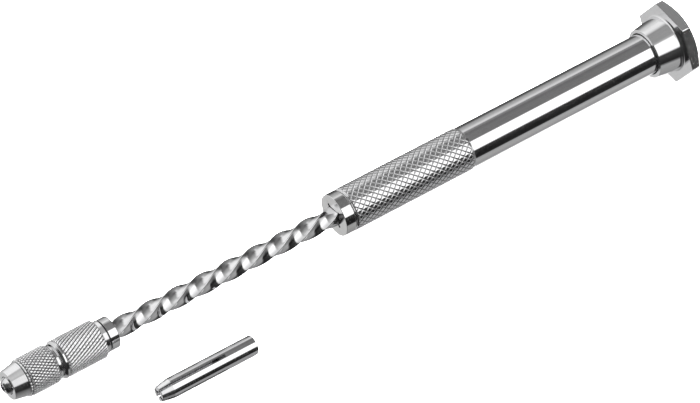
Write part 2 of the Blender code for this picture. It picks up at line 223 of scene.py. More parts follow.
studio()
scene.view_settings.view_transform = "Standard"
scene.view_settings.look = "None"
scene.view_settings.exposure = 0.0
scene.view_settings.gamma = 1.0


# --- materials ---------------------------------------------------------------
def metal(name, tint, shade, rough, streaks, bump=0.1, depth=6e-6, patch=260.0, dirt_and_shade=None, wall=0.4, bottom=1.6, metallic=1.0):
    """A metal with fine streaks. streaks is how often they repeat per metre along x, y and z of the piece.
    dirt_and_shade is the colour at the bottom of its grooves, standing for dirt and for painted shade there, wall how
    much rougher their walls are, and bottom the depth at which they are fully dark.
    """
    mat = bpy.data.materials.new(name)
    mat.use_nodes = True
    tree = mat.node_tree
    shader = tree.nodes["Principled BSDF"]
    shader.inputs["Metallic"].default_value = metallic
    coord = tree.nodes.new("ShaderNodeTexCoord")
    stretch = tree.nodes.new("ShaderNodeMapping")
    stretch.inputs["Scale"].default_value = streaks
    link(tree, coord.outputs["Object"], stretch.inputs["Vector"])
    fine = tree.nodes.new("ShaderNodeTexNoise")
    fine.inputs["Scale"].default_value = 1.0
    fine.inputs["Detail"].default_value = 5.0
    fine.inputs["Roughness"].default_value = 0.65
    link(tree, stretch.outputs["Vector"], fine.inputs["Vector"])
    broad = tree.nodes.new("ShaderNodeTexNoise")
    broad.inputs["Scale"].default_value = patch
    broad.inputs["Detail"].default_value = 3.0
    link(tree, coord.outputs["Object"], broad.inputs["Vector"])
    blend = tree.nodes.new("ShaderNodeMath")
    blend.operation = "MULTIPLY_ADD"
    blend.inputs[1].default_value = 0.6
    link(tree, fine.outputs["Fac"], blend.inputs[0])
    part = tree.nodes.new("ShaderNodeMath")
    part.operation = "MULTIPLY"
    part.inputs[1].default_value = 0.4
    link(tree, broad.outputs["Fac"], part.inputs[0])
    link(tree, part.outputs[0], blend.inputs[2])
    level = tree.nodes.new("ShaderNodeMapRange")
    level.inputs["From Min"].default_value = 0.3
    level.inputs["From Max"].default_value = 0.7
    link(tree, blend.outputs[0], level.inputs["Value"])
    color = tree.nodes.new("ShaderNodeMix")
    color.data_type = "RGBA"
    color.inputs["A"].default_value = (*shade, 1.0)
    color.inputs["B"].default_value = (*tint, 1.0)
    link(tree, level.outputs["Result"], color.inputs["Factor"])
    gloss = tree.nodes.new("ShaderNodeMapRange")
    gloss.inputs["From Min"].default_value = 0.0
    gloss.inputs["From Max"].default_value = 1.0
    gloss.inputs["To Min"].default_value = rough[1]
    gloss.inputs["To Max"].default_value = rough[0]
    link(tree, level.outputs["Result"], gloss.inputs["Value"])
    color_out, gloss_out = color.outputs["Result"], gloss.outputs["Result"]
    # Painted shade: the groove mask darkens the colour towards the groove colour at groove bottoms, thread roots and
    # undercut gaps, standing for dirt and for the shade that falls there.
    if dirt_and_shade:
        groove_mask = tree.nodes.new("ShaderNodeAttribute")
        groove_mask.attribute_name = "groove"
        deep = tree.nodes.new("ShaderNodeMapRange")
        deep.inputs["From Min"].default_value = 0.1
        deep.inputs["From Max"].default_value = bottom
        link(tree, groove_mask.outputs["Fac"], deep.inputs["Value"])
        dark = tree.nodes.new("ShaderNodeMix")
        dark.data_type = "RGBA"
        link(tree, deep.outputs["Result"], dark.inputs["Factor"])
        link(tree, color_out, dark.inputs["A"])
        dark.inputs["B"].default_value = (*dirt_and_shade, 1.0)
        color_out = dark.outputs["Result"]
        walls = tree.nodes.new("ShaderNodeMapRange")
        walls.inputs["From Min"].default_value = 0.0
        walls.inputs["From Max"].default_value = 0.35
        walls.inputs["To Min"].default_value = 0.0
        walls.inputs["To Max"].default_value = wall
        link(tree, groove_mask.outputs["Fac"], walls.inputs["Value"])
        dull = tree.nodes.new("ShaderNodeMath")
        dull.operation = "ADD"
        link(tree, walls.outputs["Result"], dull.inputs[0])
        link(tree, gloss_out, dull.inputs[1])
        gloss_out = dull.outputs[0]
    link(tree, color_out, shader.inputs["Base Color"])
    link(tree, gloss_out, shader.inputs["Roughness"])
    relief = tree.nodes.new("ShaderNodeBump")
    relief.inputs["Strength"].default_value = bump
    relief.inputs["Distance"].default_value = depth
    link(tree, fine.outputs["Fac"], relief.inputs["Height"])
    link(tree, relief.outputs["Normal"], shader.inputs["Normal"])
    return mat


DRAWN = (14.0, 2600.0, 2600.0)  # streaks along the tool
TURNED = (5200.0, 120.0, 120.0)  # rings round it
CHROME = metal("chrome_drawn", (0.88, 0.88, 0.885), (0.80, 0.80, 0.81), (0.025, 0.075), DRAWN, 0.10, 5e-6)
# The dark groove colours of these three chromes are dirt and painted shade in their grooves and gaps.
CHROME_KNURL = metal("chrome_knurled", (0.88, 0.88, 0.885), (0.80, 0.80, 0.81), (0.04, 0.10), DRAWN, 0.10, 5e-6, dirt_and_shade=(0.05, 0.05, 0.055), wall=0.14)
CHROME_TURNED = metal("chrome_turned", (0.88, 0.88, 0.885), (0.79, 0.79, 0.80), (0.03, 0.09), TURNED, 0.08, 4e-6, dirt_and_shade=(0.05, 0.05, 0.055), wall=0.28)
CHROME_ROLLED = metal("chrome_rolled", (0.93, 0.93, 0.935), (0.86, 0.86, 0.87), (0.05, 0.11), TURNED, 0.08, 4e-6, dirt_and_shade=(0.02, 0.02, 0.022), wall=0.2, bottom=0.8, metallic=0.945)
CHROME_BRUSHED = metal("chrome_brushed", (0.88, 0.88, 0.885), (0.80, 0.80, 0.81), (0.04, 0.09), (5200.0, 300.0, 300.0), 0.05, 4e-6, metallic=0.99)
# Near-black painted shade for the inside of the drive nut's slot and bore.
SLOT_PAINTED_SHADE = metal("slot_painted_shade", (0.03, 0.03, 0.032), (0.015, 0.015, 0.016), (0.3, 0.45), TURNED, 0.1, 5e-6)
NICKEL = metal("nickel_turned", (0.87, 0.87, 0.865), (0.78, 0.78, 0.78), (0.03, 0.09), TURNED, 0.08, 4e-6)
BAR_STEEL = metal("twisted_bar_steel", (0.88, 0.88, 0.885), (0.76, 0.76, 0.77), (0.025, 0.06), (160.0, 1500.0, 1500.0), 0.1, 4e-6, patch=520.0)
COLLET_STEEL = metal("collet_steel", (0.87, 0.87, 0.875), (0.76, 0.76, 0.77), (0.05, 0.12), DRAWN, 0.10, 5e-6)
BLACK_STEEL = metal("black_oxide_steel", (0.10, 0.10, 0.11), (0.05, 0.05, 0.055), (0.35, 0.5), TURNED, 0.15, 6e-6)
SPRING_WIRE = metal("spring_wire", (0.56, 0.56, 0.58), (0.40, 0.40, 0.42), (0.22, 0.36), (900.0, 900.0, 900.0), 0.2, 8e-6)
BEARING = metal("bearing_steel", (0.82, 0.82, 0.84), (0.74, 0.74, 0.76), (0.03, 0.08), (700.0, 700.0, 700.0), 0.05, 4e-6)
INNER_STEEL = metal("turned_steel", (0.70, 0.70, 0.72), (0.56, 0.56, 0.58), (0.16, 0.30), TURNED, 0.2, 8e-6)
BRASS = metal("turned_brass", (0.78, 0.58, 0.26), (0.62, 0.43, 0.17), (0.18, 0.32), TURNED, 0.2, 8e-6)
FIBRE = metal("fibre", (0.36, 0.14, 0.07), (0.22, 0.08, 0.04), (0.6, 0.8), (2600.0, 2600.0, 2600.0), 0.4, 2e-5, metallic=0.0)


# --- mesh tools --------------------------------------------------------------
def soften(outline, steps=3):
    """Rounds an outline of (x, r) or (x, r, radius). Holds the flats beside each rounding with a point of their own."""
    count, out, hold = len(outline), [], 0.035
    for i, point in enumerate(outline):
        here = Vector(point[:2])
        if len(point) < 3:
            out.append(tuple(here))
            continue
        a = Vector(outline[i - 1][:2]) - here
        b = Vector(outline[(i + 1) % count][:2]) - here
        la, lb = a.length, b.length
        a, b = a / la, b / lb
        half = math.acos(max(-1.0, min(1.0, a.dot(b)))) / 2
        reach = min(point[2] / math.tan(half), 0.46 * la, 0.46 * lb)
        radius = reach * math.tan(half)
        centre = here + (a + b).normalized() * radius / math.sin(half)
        first, last = here + a * reach - centre, here + b * reach - centre
        sweep = math.atan2(first.x * last.y - first.y * last.x, first.dot(last))
        if la - reach > 4 * hold:
            out.append(tuple(here + a * (reach + hold)))
        for k in range(steps + 1):
            angle = sweep * k / steps
            c, s = math.cos(angle), math.sin(angle)
            out.append(
                (centre.x + c * first.x - s * first.y, centre.y + s * first.x + c * first.y)
            )
        if lb - reach > 4 * hold:
            out.append(tuple(here + b * (reach + hold)))
    return out


class Skin:
    """Rings of points round x, joined into one closed surface."""

    def __init__(self, seg):
        self.seg = seg
        self.angle = 2 * np.pi * np.arange(seg) / seg
        self.points, self.groove, self.faces = [], [], []
        self.count, self.first, self.last = 0, None, None

    def add(self, x, r, angle, groove):
        r = np.broadcast_to(np.asarray(r, float), angle.shape)
        x = np.broadcast_to(np.asarray(x, float), angle.shape)
        self.points.append(np.column_stack((x, r * np.cos(angle), r * np.sin(angle))))
        self.groove.append(np.broadcast_to(np.asarray(groove, float), angle.shape))
        self.count += len(angle)
        return np.arange(self.count - len(angle), self.count)

    def join(self, here):
        a, b = self.last, here
        if a is None:
            self.first = here
        elif len(a) == 1:
            self.faces += [(a[0], p, q) for p, q in zip(b, np.roll(b, -1))]
        elif len(b) == 1:
            self.faces += [(p, b[0], q) for p, q in zip(a, np.roll(a, -1))]
        else:
            self.faces += list(zip(a, b, np.roll(b, -1), np.roll(a, -1)))
        self.last = here

    def ring(self, x, r, groove=0.0):
        self.join(self.add(x, r, self.angle, groove))

    def rings(self, outline):
        for x, r in outline:
            if r < 1e-9:
                self.pole(x)
            else:
                self.ring(x, r)

    def pole(self, x):
        self.join(self.add(x, 0.0, np.zeros(1), 0.0))

    def crossed(self, x, r, groove, xc, rc, groove_c):
        """A ring whose band is split through a point in the middle of each cell."""
        here = self.add(x, r, self.angle, groove)
        mid = self.add(xc, rc, self.angle + np.pi / self.seg, groove_c)
        a, b = self.last, here
        a1, b1 = np.roll(a, -1), np.roll(b, -1)
        for p, q in ((a, b), (b, b1), (b1, a1), (a1, a)):
            self.faces += list(zip(p, q, mid))
        self.last = here

    def close(self):
        self.join(self.first)

    def result(self):
        return np.vstack(self.points), self.faces, np.concatenate(self.groove)


def lathe(outline, seg=96, ring=True):
    skin = Skin(seg)
    skin.rings(outline)
    if ring:
        skin.close()
    return skin.result()


def volume(points, faces):
    total = 0.0
    for face in faces:
        a = points[face[0]]
        for i in range(1, len(face) - 1):
            total += np.dot(a, np.cross(points[face[i]], points[face[i + 1]]))
    return total


def to_mesh(name, points, faces, groove=None, sharp=30.0):
    points = np.asarray(points, float)
    faces = [tuple(int(i) for i in f) for f in faces]
    if volume(points, faces) < 0:
        faces = [f[::-1] for f in faces]
    mesh = bpy.data.meshes.new(name)
    mesh.from_pydata((points * MM).tolist(), [], faces)
    if groove is not None:
        layer = mesh.attributes.new("groove", "FLOAT", "POINT")
        layer.data.foreach_set("value", np.asarray(groove, np.float32))
    finish_mesh(mesh, sharp)
    return mesh


def finish_mesh(mesh, sharp):
    mesh.validate()
    mesh.shade_smooth()
    mesh.set_sharp_from_angle(angle=math.radians(sharp))
    mesh.update()


def loose(name, points, faces, groove=None, place=TOOL, sharp=30.0):
    obj = bpy.data.objects.new(name, to_mesh(name, points, faces, groove, sharp))
    scene.collection.objects.link(obj)
    obj.matrix_world = place
    return obj


def carve(obj, cutters, operation="DIFFERENCE", bevel=0.0, segments=2, limit=28.0, sharp=40.0, even=True):
    """Cuts obj with the cutters, rounds its edges and makes the result its mesh."""
    for i, cutter in enumerate(cutters):
        cut = obj.modifiers.new(f"cut_{i}", "BOOLEAN")
        cut.operation = operation if isinstance(operation, str) else operation[i]
        cut.solver = "EXACT"
        cut.object = cutter
    if bevel:
        round_off = obj.modifiers.new("round", "BEVEL")
        round_off.width = bevel * MM
        round_off.segments = segments
        round_off.limit_method = "ANGLE"
        round_off.angle_limit = math.radians(limit)
        round_off.use_clamp_overlap = True
    bpy.context.view_layer.update()
    graph = bpy.context.evaluated_depsgraph_get()
    mesh = bpy.data.meshes.new_from_object(obj.evaluated_get(graph), depsgraph=graph)
    obj.modifiers.clear()
    obj.data = mesh
    for cutter in cutters:
        bpy.data.objects.remove(cutter, do_unlink=True)
    finish_mesh(mesh, sharp)
    if even:
        obj.modifiers.new("normals", "WEIGHTED_NORMAL").keep_sharp = True
    return obj


def fit(obj, node, body, mat):
    """Makes obj the piece that stands for a node."""
    obj.name = obj.data.name = node + "_fine"
    mats = mat if isinstance(mat, (list, tuple)) else [mat]
    which = [min(face.material_index, len(mats) - 1) for face in obj.data.polygons]
    obj.data.materials.clear()
    for m in mats:
        obj.data.materials.append(m)
    obj.data.polygons.foreach_set("material_index", which)
    obj.data.transform(obj.matrix_world)
    obj.matrix_world = Matrix()
    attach(obj, body)
    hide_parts(node)
    return obj


def bar(x0, x1, side, corner, angle_at, step=0.4, corner_steps=4, across=6):
    """A square bar along x with rounded edges, one flat turned by angle_at(x) degrees from +Y towards +Z."""
    w = side / 2 - corner
    section = []
    for k in range(4):
        c, s = math.cos(math.pi / 2 * k), math.sin(math.pi / 2 * k)
        flat = [(side / 2, -w + 2 * w * j / across) for j in range(across)]
        turn = [math.pi / 2 * j / corner_steps for j in range(corner_steps)]
        flat += [(w + corner * math.cos(a), w + corner * math.sin(a)) for a in turn]
        section += [(c * y - s * z, s * y + c * z) for y, z in flat]
    section = np.array(section)
    count = max(2, int(round((x1 - x0) / step)) + 1)
    xs = np.linspace(x0, x1, count)
    n = len(section)
    points, faces = [], []
    for x in xs:
        a = math.radians(angle_at(x))
        c, s = math.cos(a), math.sin(a)
        y, z = section[:, 0], section[:, 1]
        points.append(np.column_stack((np.full(n, x), c * y - s * z, s * y + c * z)))
    for i in range(count - 1):
        a = np.arange(n) + i * n
        b = a + n
        faces += list(zip(a, np.roll(a, -1), np.roll(b, -1), b))
    faces.append(tuple(range(n))[::-1])
    faces.append(tuple(range((count - 1) * n, count * n)))
    return np.vstack(points), faces


def rod(at, axis, radius, length, seg=32):
    """A plain round cutter."""
    turn = Vector((1, 0, 0)).rotation_difference(Vector(axis).normalized()).to_matrix()
    points, faces, _ = lathe(
        [(-length / 2, 0), (-length / 2, radius), (length / 2, radius), (length / 2, 0)], seg, ring=False
    )
    points = points @ np.array(turn).T + np.array(at)
    return loose("cutter", points, faces)


# --- knurls ------------------------------------------------------------------
def groove_height(phase, shape):
    """Height from 0, at the bottom of a groove, to 1, as the phase goes from one groove to the next. shape holds (phase from the groove, height)."""
    near = np.abs(phase - np.round(phase))
    at, height = zip(*shape)
    return np.interp(near, at, height)


def knurl(skin, count, x0, rows, step, split, shape_a, shape_b, radius_at, depth, dull=0.0):
    """Rolls a knurl of two crossing sets of grooves into the rings from x0 on. radius_at(x) gives its outside, and how far the grooves go in there. dull roughens its ridges too."""
    cells = np.arange(skin.seg)

    def level(i, half):
        a = (cells + half) / split
        b = (i + half) / split
        h = np.minimum(groove_height(a + b, shape_a), groove_height(a - b, shape_b))
        x = x0 + (i + half) * step
        outside, share = radius_at(x)
        # The third value is the groove mask: it darkens the grooves' bottoms with dirt and painted shade, and roughens
        # their walls.
        return x, outside - depth * share * (1 - h), np.maximum(dull, (1 - h) * share)

    x, r, g = level(0, 0.0)
    skin.ring(x, r, g)
    for i in range(rows):
        xc, rc, gc = level(i, 0.5)
        x, r, g = level(i + 1, 0.0)
        skin.crossed(x, r, g, xc, rc, gc)


def rolled(obj, x0, x1):
    """Gives the faces of a chuck's knurl, from x0 to x1, the piece's second material."""
    for face in obj.data.polygons:
        if x0 * MM < face.center.x < x1 * MM and math.hypot(face.center.y, face.center.z) > 4.42 * MM:
            face.material_index = 1


def ramp(x, a, b):
    """0 at a, 1 at b, smooth between."""
    t = min(1.0, max(0.0, (x - a) / (b - a)))
    return t * t * (3 - 2 * t)


# --- handle tube -------------------------------------------------------------
TUBE_X0, TUBE_X1, TUBE_R, TUBE_BORE_R, KNURL_R, KNURL_X1 = 2.9, 98.9, 5.38, 4.5, 5.56, 38.3
KNURL_COUNT, SPLIT = 20, 8


def handle_tube():
    skin = Skin(KNURL_COUNT * SPLIT)
    skin.ring(TUBE_X0 + 0.1, TUBE_BORE_R)
    skin.ring(TUBE_X0, TUBE_BORE_R + 0.1)
    skin.ring(TUBE_X0, TUBE_BORE_R + 0.2)
    skin.ring(TUBE_X0, KNURL_R - 0.46)
    step = 1.7825 / SPLIT
    rows = int((KNURL_X1 - TUBE_X0) / step)
    x0 = KNURL_X1 - rows * step
    flat_top = [(0.0, 0.0), (1 / 8, 0.86), (2 / 8, 1.0), (0.5, 1.0)]

    def radius_at(x):
        front = KNURL_R - 0.42 * max(0.0, 1 - (x - TUBE_X0) / 0.4)
        rear = ramp(x, KNURL_X1, KNURL_X1 - 0.9)
        outside = min(front, TUBE_R + (KNURL_R - TUBE_R) * rear)
        share = min(rear, 0.2 + 0.8 * ramp(x, TUBE_X0, TUBE_X0 + 0.5))
        return outside, share

    knurl(skin, KNURL_COUNT, x0, rows, step, SPLIT, flat_top, flat_top, radius_at, 0.085)
    skin.rings([(KNURL_X1 + 0.05, TUBE_R), (KNURL_X1 + 0.4, TUBE_R), (60.0, TUBE_R), (80.0, TUBE_R)])
    skin.rings(
        soften(
            [
                (90.0, TUBE_R),
                (TUBE_X1, TUBE_R, 0.25),
                (TUBE_X1, TUBE_BORE_R, 0.08),
                (90.0, TUBE_BORE_R),
            ]
        )
    )
    skin.rings([(60.0, TUBE_BORE_R), (30.0, TUBE_BORE_R)])
    skin.close()
    points, faces, groove = skin.result()
    return fit(loose("handle_tube_fine", points, faces, groove, sharp=40), "handle_tube", "handle", CHROME_KNURL)


handle_tube()

# --- chuck cap ---------------------------------------------------------------
CHUCK_COUNT = 36
NOSE_X, NOSE_R, CONE_X, CONE_R = -93.7, 3.7, -89.95, 4.38
CAP_KNURL_X0, CAP_KNURL_X1, CAP_X1, CAP_BAND_R = -89.1, -81.8, -80.75, 4.35


def chuck_cap():
    split = 6
    skin = Skin(CHUCK_COUNT * split)
    skin.rings(
        soften(
            [
                (-85.0, 4.05),
                (-88.95, 4.05, 0.1),
                (-89.3, 2.7, 0.1),
                (-91.7, 2.7, 0.2),
                (NOSE_X, 2.32, 0.06),
                (NOSE_X, NOSE_R, 0.12),
                (CONE_X, CONE_R, 0.05),
                (CONE_X + 0.03, CONE_R - 0.06),
            ]
        )
    )
    # Groove 2.0 paints the undercut behind the cone fully dark: painted shade in the gap.
    skin.ring(CONE_X + 0.04, 4.05, 2.0)
    skin.ring(CONE_X + 0.14, 4.05, 2.0)
    cells = np.arange(skin.seg)
    notch = groove_height(cells / split, [(0, 0), (1 / 6, 0.5), (2 / 6, 1.0), (0.5, 1.0)])
    # The notches of this ring get a little painted shade through the groove mask.
    for x, outside, cut in (
        (CONE_X + 0.16, 4.45, 0.05),
        (CONE_X + 0.21, 4.72, 0.16),
        (CONE_X + 0.52, 4.78, 0.18),
        (CONE_X + 0.57, 4.66, 0.10),
    ):
        skin.ring(x, outside - cut * (1 - notch), (1 - notch) * 0.3)
    # Groove 2.0 paints the gap before the knurl fully dark: painted shade in the gap.
    skin.ring(CONE_X + 0.6, 4.4, 2.0)
    skin.ring(CAP_KNURL_X0 - 0.04, 4.4, 2.0)
    pyramid = [(0.0, 0.0), (1 / 6, 0.68), (2 / 6, 0.92), (0.5, 1.0)]
    rows = 31
    step = (CAP_KNURL_X1 - CAP_KNURL_X0) / rows

    def radius_at(x):
        front = CHUCK_R - 0.3 * max(0.0, 1 - (x - CAP_KNURL_X0) / 0.4)
        rear = CHUCK_R - 0.16 * max(0.0, 1 - (CAP_KNURL_X1 - x) / 0.4)
        return min(front, rear), 1.0

    knurl(skin, CHUCK_COUNT, CAP_KNURL_X0, rows, step, split, pyramid, pyramid, radius_at, 0.24, 0.08)
    skin.rings(
        soften(
            [
                (CAP_KNURL_X1 + 0.03, 4.6),
                (CAP_KNURL_X1 + 0.08, 4.74, 0.03),
                (CAP_KNURL_X1 + 0.5, CAP_BAND_R, 0.1),
                (CAP_X1, CAP_BAND_R, 0.1),
                (CAP_X1, 4.05, 0.06),
                (-84.0, 4.05),
            ]
        )
    )
    skin.close()
    points, faces, groove = skin.result()
    obj = loose("chuck_cap_fine", points, faces, groove, sharp=24)
    rolled(obj, CAP_KNURL_X0, CAP_KNURL_X1)
    return fit(obj, "chuck_cap", "chuck_cap", [CHROME_TURNED, CHROME_ROLLED])


chuck_cap()

# --- chuck body --------------------------------------------------------------
LEAD, BAR_W, BAR_EDGE, BAR_ANGLE = 30.3, 3.78, 0.28, 78.86
SPIRAL_X0, SPIRAL_X1, TANG_X0, BAR_X1 = -64.5, 9.0, -66.9, 13.5
LIP_X0, BODY_KNURL_X0, BODY_KNURL_X1, BAND_X1, BAND_R = -80.3, -79.0, -68.45, -67.2, 4.12
COLLAR_X0, COLLAR_X1, COLLAR_R, STOP_X = -66.82, -64.5, 4.08, -67.1
GRUB_X, GRUB_R = -65.65, 0.8


def bar_angle(x):
    return BAR_ANGLE - 360.0 * min(max(x, SPIRAL_X0), SPIRAL_X1) / LEAD


flat = math.radians(bar_angle(SPIRAL_X0))
GRUB_AXIS = Vector((0, math.cos(flat), math.sin(flat)))
if GRUB_AXIS.y < 0:
    GRUB_AXIS.negate()


def chuck_body():
    split = 6
    skin = Skin(CHUCK_COUNT * split)
    skin.pole(STOP_X)
    skin.rings([(STOP_X, 2.0), (STOP_X, 2.95), (-69.0, 2.95), (-69.0, 2.7), (-80.0, 2.7)])
    skin.rings([(-88.1, 2.7), (-88.2, 2.8), (-88.2, 3.3)])
    # the thread that the cap runs on
    pitch, major, thread = 0.75, 3.85, 0.34
    start, stop, per_turn = -88.15, -80.95, 6
    for x in np.arange(start, stop, pitch / per_turn):
        phase = x / pitch - skin.angle / (2 * np.pi)
        height = groove_height(phase, [(0, 0), (0.06, 0.0), (0.42, 1.0), (0.5, 1.0)])
        lead_in = min(1.0, (x - start) / 0.5) if x - start < 0.5 else 1.0
        run_out = min(1.0, (stop - x) / 0.5)
        outside = major - 0.3 * (1 - lead_in)
        # The thread's roots are darkened a little through the groove mask: painted shade and dirt.
        skin.ring(x, np.minimum(outside, major - thread * (1 - height) * run_out), (1 - height) * 0.4)
    skin.rings(
        soften(
            [
                (stop + 0.05, major - 0.1),
                (LIP_X0, major - 0.1, 0.05),
                (LIP_X0, CHUCK_R - 0.53, 0.06),
                (LIP_X0 + 0.55, CHUCK_R, 0.12),
                (BODY_KNURL_X0 - 0.26, CHUCK_R, 0.08),
                (BODY_KNURL_X0 - 0.22, CHUCK_R - 0.14),
            ],
            steps=4,
        )
    )
    # Groove 2.0 paints the undercut before the knurl fully dark: painted shade in the gap.
    skin.ring(BODY_KNURL_X0 - 0.21, CHUCK_R - 0.3, 2.0)
    skin.ring(BODY_KNURL_X0 - 0.07, CHUCK_R - 0.3, 2.0)
    rows = 35
    step = (BODY_KNURL_X1 - BODY_KNURL_X0) / rows
    ridge = [(0.0, 0.0), (1 / 6, 0.52), (2 / 6, 0.84), (0.5, 1.0)]
    cross = [(0.0, 0.86), (1 / 6, 0.95), (2 / 6, 1.0), (0.5, 1.0)]

    def radius_at(x):
        front = CHUCK_R - 0.25 * max(0.0, 1 - (x - BODY_KNURL_X0) / 0.35)
        rear = CHUCK_R - 0.12 * max(0.0, 1 - (BODY_KNURL_X1 - x) / 0.3)
        return min(front, rear), 1.0

    knurl(skin, CHUCK_COUNT, BODY_KNURL_X0, rows, step, split, ridge, cross, radius_at, 0.26, 0.08)
    skin.rings(
        soften(
            [
                (BODY_KNURL_X1 + 0.03, 4.5),
                (BODY_KNURL_X1 + 0.1, BAND_R - 0.14, 0.04),
                (BAND_X1, BAND_R, 0.08),
                (BAND_X1 + 0.04, BAND_R - 0.12),
            ]
        )
    )
    # Groove 2.0 paints the neck between band and collar fully dark: painted shade in the gap.
    skin.ring(BAND_X1 + 0.06, 3.7, 2.0)
    skin.ring(COLLAR_X0 - 0.05, 3.7, 2.0)
    skin.ring(COLLAR_X0 - 0.02, 3.86, 2.0)
    skin.rings(
        soften(
            [
                (COLLAR_X0 - 0.01, 3.92),
                (COLLAR_X0, COLLAR_R, 0.05),
                (COLLAR_X1, COLLAR_R, 0.2),
                (COLLAR_X1, 3.0),
            ]
        )
    )
    skin.pole(COLLAR_X1)
    points, faces, groove = skin.result()
    obj = loose("chuck_body_fine", points, faces, groove, sharp=24)
    slot = loose("cutter", *bar(STOP_X - 0.9, COLLAR_X1 + 1.0, BAR_W + 0.2, 0.2, lambda x: bar_angle(SPIRAL_X0), step=5))
    hole = rod(Vector((GRUB_X, 0, 0)) + GRUB_AXIS * 3.1, GRUB_AXIS, GRUB_R + 0.06, 4.2)
    carve(obj, [slot, hole], sharp=24, even=False)
    rolled(obj, BODY_KNURL_X0, BODY_KNURL_X1)
    return fit(obj, "chuck_body", "spindle", [CHROME_TURNED, CHROME_ROLLED])


chuck_body()


def grub_screw():
    inner, outer = BAR_W / 2 + 0.15, COLLAR_R - 0.35
    skin = Skin(24)
    across = 0.36 / np.cos((skin.angle % (math.pi / 3)) - math.pi / 6)
    skin.pole(inner)
    skin.rings([(inner, 0.45), (inner + 0.2, GRUB_R - 0.02), (outer - 0.12, GRUB_R), (outer, GRUB_R - 0.12)])
    skin.ring(outer, across + 0.06)
    skin.ring(outer - 0.06, across)
    skin.ring(outer - 0.8, across)
    skin.pole(outer - 0.95)
    points, faces, _ = skin.result()
    turn = Vector((1, 0, 0)).rotation_difference(GRUB_AXIS).to_matrix()
    points = points @ np.array(turn).T + np.array((GRUB_X, 0, 0))
    return fit(loose("chuck_grub_screw_fine", points, faces), "chuck_grub_screw", "spindle", BLACK_STEEL)


grub_screw()


# --- collets -----------------------------------------------------------------
def collet(node, body, x0, tip, slit, turn, place, rounding):
    length, radius, cone, bore = 27.2, 2.5, 3.25, 1.1
    x1 = x0 + length
    if rounding > 0.5:
        side = tip + (radius - tip) * rounding / cone
        turns = [math.pi / 4 * (1 + k / 8) for k in range(9)]
        low, high = 1 - math.sin(turns[0]), math.cos(turns[0])
        front = [(x0 + rounding * (1 - math.sin(t)) / low, 0.98 + (side - 0.98) * math.cos(t) / high) for t in turns]
    else:
        front = [(x0, tip, rounding)]
    points, faces, _ = lathe(
        soften(
            [
                (x1, bore, 0.1),
                (x1, radius, 0.22),
                (x0 + cone, radius, 1.2),
                *front,
                (x0, bore * 0.75, 0.08),
                (x0 + 1.2, bore * 0.75, 0.1),
                (x0 + 1.6, bore, 0.1),
            ],
            steps=5,
        ),
        96,
    )
    obj = loose(node, points, faces, place=place, sharp=35)
    end, ramp_l, far = x0 + 19.5, 2.4, radius + 1.0
    cutters = []
    for k in range(2):
        outline = [(x0 - 1, -far), (end, -far), (end - ramp_l, -0.66), (end - ramp_l, 0.66), (end, far), (x0 - 1, far)]
        n = len(outline)
        box = np.array([(x, -slit / 2, r) for x, r in outline] + [(x, slit / 2, r) for x, r in outline])
        a = math.radians(turn + 90 * k)
        c, s = math.cos(a), math.sin(a)
        box = np.column_stack((box[:, 0], c * box[:, 1] - s * box[:, 2], s * box[:, 1] + c * box[:, 2]))
        sides = [(i, (i + 1) % n, n + (i + 1) % n, n + i) for i in range(n)]
        cutters.append(loose("cutter", box, sides + [tuple(range(n))[::-1], tuple(range(n, 2 * n))], place=place))
    carve(obj, cutters, sharp=35, even=False)
    return fit(obj, node, body, COLLET_STEEL)


fitted = collet("collet", "collet", -94.95, 2.02, 0.24, 62.0, TOOL, 1.4)
spare = collet("spare_collet", "spare_collet", 0.0, 1.9, 0.7, 0.0, SPARE, 0.12)


# --- spiral shaft ------------------------------------------------------------
flat = math.radians(bar_angle(SPIRAL_X1))
PIN_AXIS = Vector((0, -math.sin(flat), math.cos(flat)))
shaft = loose("spiral", *bar(TANG_X0, BAR_X1, BAR_W, BAR_EDGE, bar_angle, step=0.3, corner_steps=5, across=8), sharp=40)
carve(shaft, [rod((11.8, 0, 0), PIN_AXIS, 0.66, 12.0)], sharp=40, even=False)
fit(shaft, "spiral_shaft", "spindle", BAR_STEEL)


# --- drive nut ---------------------------------------------------------------
def drive_nut():
    outline = soften(
        [
            (3.8, 0.0),
            (3.8, 3.0, 0.1),
            (8.6, 3.0, 0.1),
            (8.6, 4.3, 0.2),
            (2.8, 4.3, 0.05),
            (2.8, 5.12, 0.05),
            (2.48, 5.48, 0.1),
            (-0.28, 5.48, 0.1),
            (-0.28, 0.0),
        ]
    )
    points, faces, _ = lathe(outline, 120, ring=False)
    obj = loose("nut", points, faces, sharp=30)
    slot = loose(
        "cutter",
        *bar(-1.0, 4.8, BAR_W + 0.36, 0.04, lambda x: BAR_ANGLE - 360.0 * x / LEAD, step=0.3, corner_steps=1),
    )
    reliefs = []
    for k in range(4):
        a = math.radians(BAR_ANGLE + 360 * 0.28 / LEAD + 45 + 90 * k)
        reliefs.append(rod(Vector((0.2, 2.9 * math.cos(a), 2.9 * math.sin(a))), Vector((1, 0, 0)), 0.42, 1.6, seg=20))
    carve(obj, [slot] + reliefs, bevel=0.03, segments=2, limit=40, sharp=40)
    # Painted shade: the slot walls and the bore inside the nut take the near-black material.
    for face in obj.data.polygons:
        if math.hypot(face.center.y, face.center.z) < 3.4 * MM and face.center.x > -0.25 * MM:
            face.material_index = 1
    return fit(obj, "drive_nut", "handle", [NICKEL, SLOT_PAINTED_SHADE])


drive_nut()


